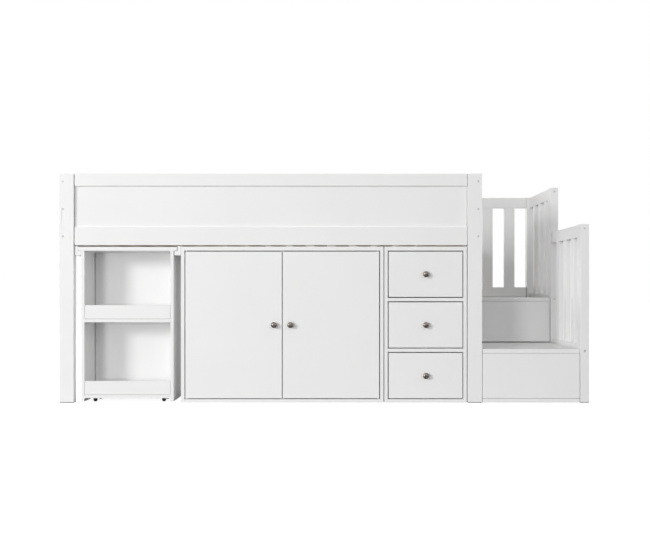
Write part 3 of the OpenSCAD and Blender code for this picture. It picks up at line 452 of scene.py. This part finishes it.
def make_knob(node, body):
    """A turned pewter knob: foot ring, waisted neck, and a domed head with a turned line."""
    low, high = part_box(node)
    panel_low, panel_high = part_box(KNOB_PANELS[node])
    face_y = panel_low.y
    back_y = panel_high.y
    length = face_y - low.y
    head_r = (high.x - low.x) / 2
    head_under_r = head_r * 0.80
    head_base = length * 0.48
    rim = length * 0.60
    neck_r = head_r * 0.38
    neck_low = length * 0.30
    neck_high = length * 0.34
    foot_l = length * 0.11
    foot_r = head_r * 0.56
    foot_round = 0.0006
    foot_flat_r = foot_r - foot_round
    rim_round = 0.0016
    line_depth = 0.0003
    line_at = 8
    profile = [(foot_r, 0.0)]
    profile += quarter((foot_flat_r, foot_l), (foot_round, foot_round), 0, 90, 4)
    hollow = (foot_flat_r - neck_r, neck_low - foot_l - foot_round)
    profile += quarter((foot_flat_r, neck_low), hollow, -90, -180, 8)[1:]
    hollow = (head_under_r - neck_r, head_base - neck_high)
    profile += quarter((head_under_r, neck_high), hollow, 180, 90, 8)[1:]
    profile += quarter((head_r - rim_round, rim), (rim_round, rim - head_base), -90, 0, 5)
    dome = quarter((0.0, rim), (head_r, length - rim), 0, 89, 18)
    for index, (radius, height) in enumerate(dome[1:], 1):
        line = line_depth if index == line_at else 0.0
        profile.append((radius - line, height - line))
    shape = bmesh.new()
    centre = Vector(((low.x + high.x) / 2, face_y, (low.z + high.z) / 2))
    turn(shape, profile, (centre, facing((0, -1, 0))), 64)
    screw_r = 0.0020
    screw_head_r = 0.0045
    screw_head_t = high.y - back_y
    screw = [
        (screw_head_r * 0.8, 0.0), (screw_head_r, screw_head_t * 0.3), (screw_head_r, screw_head_t),
        (screw_r, screw_head_t), (screw_r, high.y - face_y),
    ]
    turn(shape, screw, (Vector((centre.x, high.y, centre.z)), facing((0, -1, 0))), 24, 1, False)
    piece_from(shape, node + "_turned", body, [PEWTER, STEEL], [node])


def hex_ring(radius, height, count):
    """Points along a hexagon, as many as a circle has, so that the two can be bridged."""
    points = []
    per_side = count // 6
    corners = ring(radius, height, 6)
    for first, second in zip(corners, corners[1:] + corners[:1]):
        points += [first.lerp(second, step / per_side) for step in range(per_side)]
    return points


def bolt(shape, start, direction, head_r, length):
    """A flush bolt with a chamfered head and a hexagon socket. start is the middle of its face."""
    matrix = facing(direction)
    chamfer = head_r * 0.10
    socket_r = head_r * 0.48
    socket_d = BOLT_HEAD_T * 0.7
    count = 24

    def place(points):
        return [shape.verts.new(start + matrix @ point) for point in points]

    outline = [
        (BOLT_SHANK_R, length), (BOLT_SHANK_R, BOLT_HEAD_T), (head_r, BOLT_HEAD_T),
        (head_r, chamfer), (head_r - chamfer, 0.0),
    ]
    rings = turned_rings(shape, outline, (start, matrix), count)
    for lower, upper in zip(rings, rings[1:]):
        bridge(shape, lower, upper, smooth=False)
    mouth = place(hex_ring(socket_r, 0.0, count))
    floor = place(hex_ring(socket_r * 0.96, socket_d, count))
    bridge(shape, rings[-1], mouth, smooth=False)
    bridge(shape, mouth, floor, smooth=False)
    shape.faces.new(floor)
    shape.faces.new(rings[0])


def collar(shape, axis, radius, length):
    """A ring round a joining bolt, with chamfered outer edges."""
    bore_r = BOLT_SHANK_R + COLLAR_GAP
    flat_r = radius - COLLAR_CHAMFER
    outline = [
        (bore_r, 0.0), (flat_r, 0.0), (radius, COLLAR_CHAMFER),
        (radius, length - COLLAR_CHAMFER), (flat_r, length), (bore_r, length),
    ]
    rings = turned_rings(shape, outline, axis, 32)
    for lower, upper in zip(rings, rings[1:] + rings[:1]):
        bridge(shape, lower, upper, smooth=False)


def make_frame_bolts():
    """Every frame bolt, railing bolt, joining bolt and collar, in the places of the CAD solids."""
    shape = bmesh.new()
    for low, high in solids_of("frame_bolts"):
        size = high - low
        centre = (low + high) / 2
        left_end = (Vector((low.x, centre.y, centre.z)), facing((1, 0, 0)))
        if size.x > size.y:
            rod = [(BOLT_SHANK_R, 0.0), (BOLT_SHANK_R, size.x)]
            turn(shape, rod, left_end, 24, smooth=False)
        elif size.x < COLLAR_LONGEST:
            collar(shape, left_end, size.y / 2, size.x)
        elif low.y < FRONT_BOLTS_END:
            bolt(shape, Vector((centre.x, low.y, centre.z)), (0, 1, 0), size.x / 2, size.y)
        else:
            bolt(shape, Vector((centre.x, high.y, centre.z)), (0, -1, 0), size.x / 2, size.y)
    piece_from(shape, "frame_bolts_socketed", "root", [STEEL], ["frame_bolts"])


def make_wheel(node):
    """A small furniture wheel: rubber tread with a crown, and a hub with a raised boss on each side."""
    low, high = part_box(node)
    radius = (high.z - low.z) / 2
    half = (high.x - low.x) / 2
    bore = 0.00205
    crown = 0.002
    tread = [(radius * 0.62, -half * 0.80), (radius * 0.80, -half * 0.95)]
    tread += quarter((radius - crown, 0.0), (crown, half * 0.90), -80, 80, 12)
    tread += [(radius * 0.80, half * 0.95), (radius * 0.62, half * 0.80)]
    hub = [
        (radius * 0.60, half * 0.62), (radius * 0.40, half * 0.62), (radius * 0.36, half),
        (bore, half), (bore, -half),
        (radius * 0.36, -half), (radius * 0.40, -half * 0.62), (radius * 0.60, -half * 0.62),
    ]
    shape = bmesh.new()
    rings = turned_rings(shape, tread + hub, ((low + high) / 2, facing((1, 0, 0))), 40)
    for index, (lower, upper) in enumerate(zip(rings, rings[1:] + rings[:1])):
        in_tread = index < len(tread) - 1
        bridge(shape, lower, upper, 0 if in_tread else 1, in_tread)
    piece_from(shape, node + "_tyred", node, [RUBBER, PLASTIC], [node])


def make_screw_caps():
    """The small cap over the screw at the top of each of the bookcase's sides, inside."""
    cap_r = 0.0035
    cap_t = 0.0008
    edge_in = 0.027
    rim_r = cap_r - cap_t / 2
    profile = [(cap_r, 0.0), (cap_r, cap_t / 2)]
    profile += quarter((rim_r, cap_t / 2), (cap_t / 2, cap_t / 2), 0, 90, 4)[1:]
    profile += [(cap_r * 0.5, cap_t), (cap_r * 0.4, cap_t * 0.4), (cap_r * 0.1, cap_t * 0.4)]
    shape = bmesh.new()
    left, right = solids_of("bookcase_sides")
    for (low, high), face_x, inward in ((left, left[1].x, 1), (right, right[0].x, -1)):
        place = Vector((face_x, low.y + edge_in, high.z - edge_in))
        turn(shape, profile, (place, facing((inward, 0, 0))), 24)
    piece_from(shape, "bookcase_screw_caps", "desk", [STEEL])


for knob_node, knob_body in KNOBS.items():
    make_knob(knob_node, knob_body)
make_frame_bolts()
for wheel_node in WHEELS:
    make_wheel(wheel_node)
make_screw_caps()


# Floor, background, lamps and camera

def make_floor():
    """A wide pale floor. To the camera it is white, and it still darkens where the bed shades it."""
    shape = bmesh.new()
    bmesh.ops.create_grid(shape, x_segments=2, y_segments=2, size=FLOOR_HALF)
    mesh = bpy.data.meshes.new("floor")
    shape.to_mesh(mesh)
    shape.free()
    floor = bpy.data.objects.new("floor", mesh)
    scene.collection.objects.link(floor)
    material = bpy.data.materials.new("pale_floor")
    material.use_nodes = True
    tree = material.node_tree
    tree.nodes.clear()
    seen = add(tree, "ShaderNodeLightPath").outputs["Is Camera Ray"]
    diffuse = add(tree, "ShaderNodeBsdfDiffuse", {"Color": grey(FLOOR_TONE)}).outputs["BSDF"]
    strength = calculate(tree, "MULTIPLY", seen, FLOOR_GLOW)
    glow = add(tree, "ShaderNodeEmission", {"Color": grey(1.0), "Strength": strength})
    total = add(tree, "ShaderNodeAddShader")
    plug(tree, total.inputs[0], diffuse)
    plug(tree, total.inputs[1], glow.outputs["Emission"])
    add(tree, "ShaderNodeOutputMaterial", {"Surface": total.outputs["Shader"]})
    mesh.materials.append(material)


def make_world():
    """A soft surround, brighter in front and at the right. To the camera and in mirrors it is white."""
    world = bpy.data.worlds.new("studio")
    scene.world = world
    world.use_nodes = True
    tree = world.node_tree
    tree.nodes.clear()
    path = add(tree, "ShaderNodeLightPath")
    direct = path.outputs["Is Camera Ray"]
    for ray in ("Is Glossy Ray", "Is Transmission Ray"):
        direct = calculate(tree, "MAXIMUM", direct, path.outputs[ray])
    direction = add(tree, "ShaderNodeTexCoord").outputs["Generated"]
    parts = add(tree, "ShaderNodeSeparateXYZ", {"Vector": direction}).outputs
    front = spread(tree, parts["Y"], -1.0, 0.0, WORLD_FRONT, 0.0)
    right = spread(tree, parts["X"], 0.0, 1.0, 0.0, WORLD_RIGHT)
    soft = calculate(tree, "ADD", calculate(tree, "ADD", front, WORLD_EVEN), right)
    strength = spread(tree, direct, 0.0, 1.0, soft, 1.0)
    background = add(tree, "ShaderNodeBackground", {"Color": grey(1.0), "Strength": strength})
    add(tree, "ShaderNodeOutputWorld", {"Surface": background.outputs["Background"]})


def make_lamp(name, lamp_values, mirrored=True):
    """A square softbox. One that isn't mirrored lights the bed but makes no glare on it."""
    place, size, watts = lamp_values
    data = bpy.data.lights.new(name, "AREA")
    data.shape = "SQUARE"
    data.size = size
    data.energy = watts
    lamp = bpy.data.objects.new(name, data)
    lamp.location = place
    lamp.rotation_euler = (Vector(AIM) - Vector(place)).to_track_quat("-Z", "Y").to_euler()
    lamp.visible_glossy = mirrored
    scene.collection.objects.link(lamp)


def make_camera():
    """A level camera straight in front of the bed."""
    data = bpy.data.cameras.new("camera")
    data.lens = CAMERA_LENS
    data.shift_y = CAMERA_SHIFT_Y
    camera = bpy.data.objects.new("camera", data)
    camera.location = CAMERA_PLACE
    camera.rotation_euler = (math.radians(90), 0, 0)
    scene.collection.objects.link(camera)
    scene.camera = camera


make_floor()
make_world()
make_lamp("side_softbox", SIDE_LAMP)
make_lamp("front_softbox", FRONT_LAMP, mirrored=False)
make_lamp("rear_softbox", REAR_LAMP, mirrored=False)
make_camera()
scene.view_settings.view_transform = "Standard"
